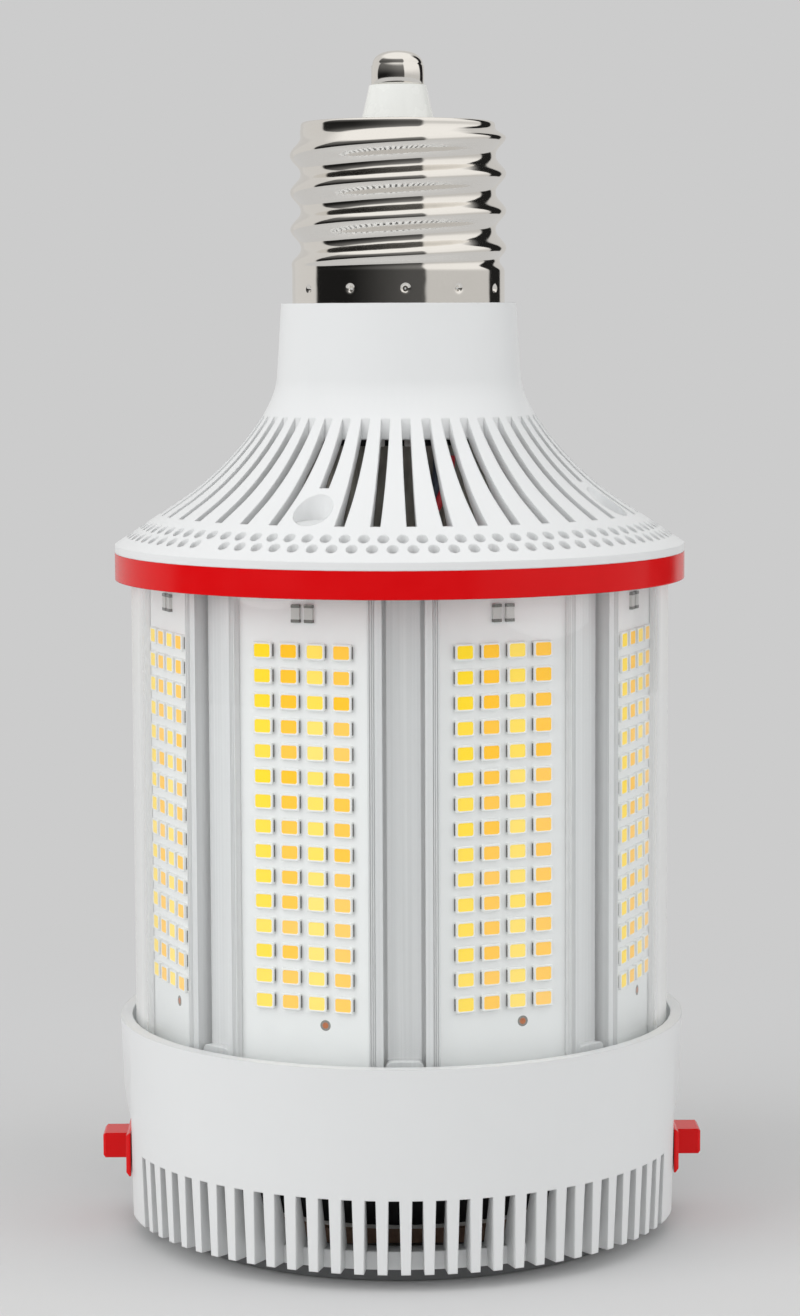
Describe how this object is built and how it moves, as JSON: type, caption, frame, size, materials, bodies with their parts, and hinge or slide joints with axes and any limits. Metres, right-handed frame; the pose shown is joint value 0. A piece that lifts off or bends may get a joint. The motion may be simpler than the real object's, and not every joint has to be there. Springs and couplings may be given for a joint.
{
  "type": "led hid replacement bulb",
  "caption": "LED corn-cob lamp with a mogul screw base, vented bell, clear tube over LED boards, and a ribbed fan cap with two selector slides.",
  "frame": {"origin": "centre of the foot plate's underside", "axes": "+Z along the lamp's axis towards the contact button, -Y towards the viewer, +X towards the power selector"},
  "size_m": [0.1108, 0.104, 0.2148],
  "materials": {
    "white_plastic": "satin moulded",
    "red_plastic": "gloss moulded",
    "clear_polycarbonate": "clear polished",
    "bare_aluminium": "brushed extrusion",
    "white_solder_mask": "satin mask on an aluminium core",
    "cool_phosphor": "clear-coated phosphor",
    "warm_phosphor": "clear-coated phosphor",
    "nickel_plate": "bright nickel plate",
    "white_insulator": "smooth moulded",
    "dark_grey_paint": "fine matte paint",
    "black_plastic": "matte moulded",
    "brown_foam": "closed-cell foam",
    "dark_potting": "potted and shrink-sleeved",
    "red_sleeve": "wire insulation",
    "dark_sleeve": "wire insulation"
  },
  "bodies": {
    "lamp": {"foot_plate": "dark_grey_paint", "bottom_cap": "white_plastic", "upper_housing": "white_plastic", "fan_gasket": "brown_foam", "fan_frame": "black_plastic", "heat_sink": "bare_aluminium", "cool_leds": "cool_phosphor", "warm_leds": "warm_phosphor", "clear_tube": "clear_polycarbonate", "trim_ring": "red_plastic", "driver_block": "dark_potting", "red_lead": "red_sleeve", "dark_lead": "dark_sleeve", "screw_shell": "nickel_plate", "base_insulator": "white_insulator", "centre_contact": "nickel_plate", "power_switch": "black_plastic", "colour_switch": "black_plastic", "led_board_1": "white_solder_mask", "led_board_2": "white_solder_mask", "led_board_3": "white_solder_mask", "led_board_4": "white_solder_mask", "led_board_5": "white_solder_mask", "led_board_6": "white_solder_mask", "led_board_7": "white_solder_mask", "led_board_8": "white_solder_mask"},
    "fan_rotor": {"fan_rotor": "black_plastic"},
    "power_selector": {"power_selector": "red_plastic"},
    "colour_selector": {"colour_selector": "red_plastic"}
  },
  "joints": [
    {"name": "fan_spin", "type": "hinge", "parent": "lamp", "child": "fan_rotor", "pos_m": [0, 0, 0.0075], "axis": [0, 0, 1], "continuous": true},
    {"name": "power_select", "type": "slide", "parent": "lamp", "child": "power_selector", "axis": [0, 1, 0], "range_m": [-0.0025, 0.0025]},
    {"name": "colour_select", "type": "slide", "parent": "lamp", "child": "colour_selector", "axis": [0, 1, 0], "range_m": [-0.0025, 0.0025]}
  ]
}
